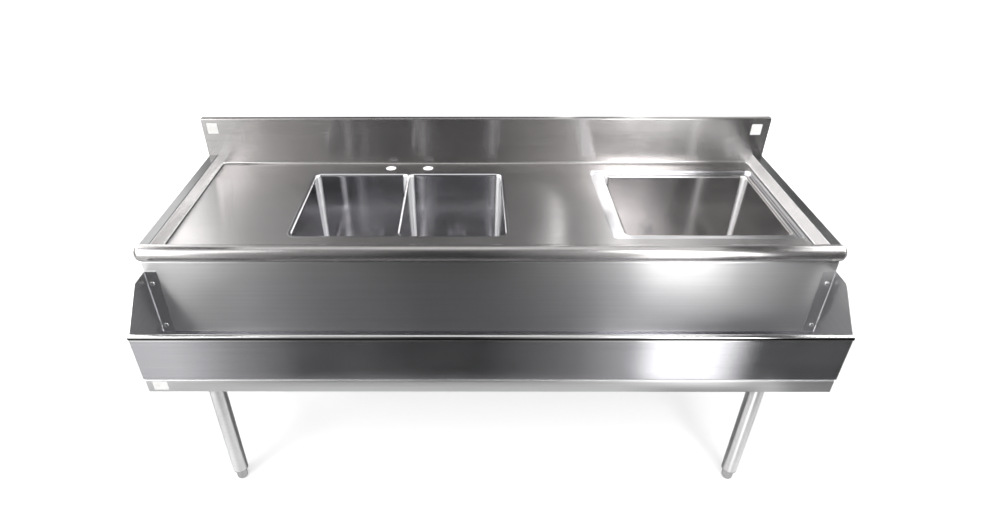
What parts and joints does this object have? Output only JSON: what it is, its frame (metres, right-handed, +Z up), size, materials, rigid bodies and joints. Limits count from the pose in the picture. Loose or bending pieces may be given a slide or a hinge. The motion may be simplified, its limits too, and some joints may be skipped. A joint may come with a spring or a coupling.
{
  "type": "cocktail sink",
  "caption": "Stainless underbar cocktail unit: drainboard top with splash, small bowls, a ledged well, a bolted bottle rail and tubular legs on adjustable bullet feet.",
  "frame": {"origin": "on the floor at the middle of the unit's footprint", "axes": "+X along the unit to the right as seen from the front, +Y to the back wall, +Z up"},
  "size_m": [1.524, 0.6446, 0.9],
  "materials": {
    "deck_steel": "brushed along the length",
    "bowl_steel": "satin",
    "apron_steel": "brushed along the length",
    "rail_steel": "brushed along the length",
    "band_steel": "satin",
    "channel_steel": "mill",
    "socket_steel": "satin",
    "leg_steel": "brushed round the tube",
    "foot_steel": "satin",
    "fastener_steel": "bright",
    "drain_metal": "polished",
    "gasket_rubber": "matt"
  },
  "bodies": {
    "frame": {"top_sheet": "deck_steel", "end_lip_left": "deck_steel", "end_lip_right": "deck_steel", "roll_cap_left": "deck_steel", "roll_cap_right": "deck_steel", "bowl_left": "bowl_steel", "bowl_middle": "bowl_steel", "bowl_right": "bowl_steel", "well_ledge": "bowl_steel", "front_apron": "apron_steel", "rail_trough": "rail_steel", "rail_end_left": "rail_steel", "rail_end_right": "rail_steel", "rail_channel": "band_steel", "front_channel": "channel_steel", "rear_channel_left": "channel_steel", "rear_channel_right": "channel_steel", "leg_socket_front_left": "socket_steel", "leg_socket_front_right": "socket_steel", "leg_socket_rear_left": "socket_steel", "leg_socket_rear_right": "socket_steel", "leg_tube_front_left": "leg_steel", "leg_tube_front_right": "leg_steel", "leg_tube_rear_left": "leg_steel", "leg_tube_rear_right": "leg_steel", "leg_insert_front_left": "foot_steel", "leg_insert_front_right": "foot_steel", "leg_insert_rear_left": "foot_steel", "leg_insert_rear_right": "foot_steel", "rail_bolts": "fastener_steel", "rail_nuts": "fastener_steel", "leg_set_screws": "fastener_steel", "drain_body_left": "drain_metal", "drain_locknut_left": "drain_metal", "drain_tail_left": "drain_metal", "drain_gasket_left": "gasket_rubber", "drain_body_middle": "drain_metal", "drain_locknut_middle": "drain_metal", "drain_tail_middle": "drain_metal", "drain_gasket_middle": "gasket_rubber", "drain_body_right": "drain_metal", "drain_locknut_right": "drain_metal", "drain_tail_right": "drain_metal", "drain_gasket_right": "gasket_rubber"},
    "foot_front_left_body": {"foot_front_left": "foot_steel"},
    "foot_front_right_body": {"foot_front_right": "foot_steel"},
    "foot_rear_left_body": {"foot_rear_left": "foot_steel"},
    "foot_rear_right_body": {"foot_rear_right": "foot_steel"},
    "strainer_left_body": {"strainer_left": "drain_metal"},
    "strainer_middle_body": {"strainer_middle": "drain_metal"},
    "strainer_right_body": {"strainer_right": "drain_metal"}
  },
  "joints": [
    {"name": "foot_front_left_adjust", "type": "slide", "parent": "frame", "child": "foot_front_left_body", "axis": [0, 0, -1], "range_m": [0, 0.025]},
    {"name": "foot_front_right_adjust", "type": "slide", "parent": "frame", "child": "foot_front_right_body", "axis": [0, 0, -1], "range_m": [0, 0.025]},
    {"name": "foot_rear_left_adjust", "type": "slide", "parent": "frame", "child": "foot_rear_left_body", "axis": [0, 0, -1], "range_m": [0, 0.025]},
    {"name": "foot_rear_right_adjust", "type": "slide", "parent": "frame", "child": "foot_rear_right_body", "axis": [0, 0, -1], "range_m": [0, 0.025]},
    {"name": "strainer_left_lift", "type": "slide", "parent": "frame", "child": "strainer_left_body", "axis": [0, 0, 1], "range_m": [0, 0.08]},
    {"name": "strainer_middle_lift", "type": "slide", "parent": "frame", "child": "strainer_middle_body", "axis": [0, 0, 1], "range_m": [0, 0.08]},
    {"name": "strainer_right_lift", "type": "slide", "parent": "frame", "child": "strainer_right_body", "axis": [0, 0, 1], "range_m": [0, 0.08]}
  ]
}
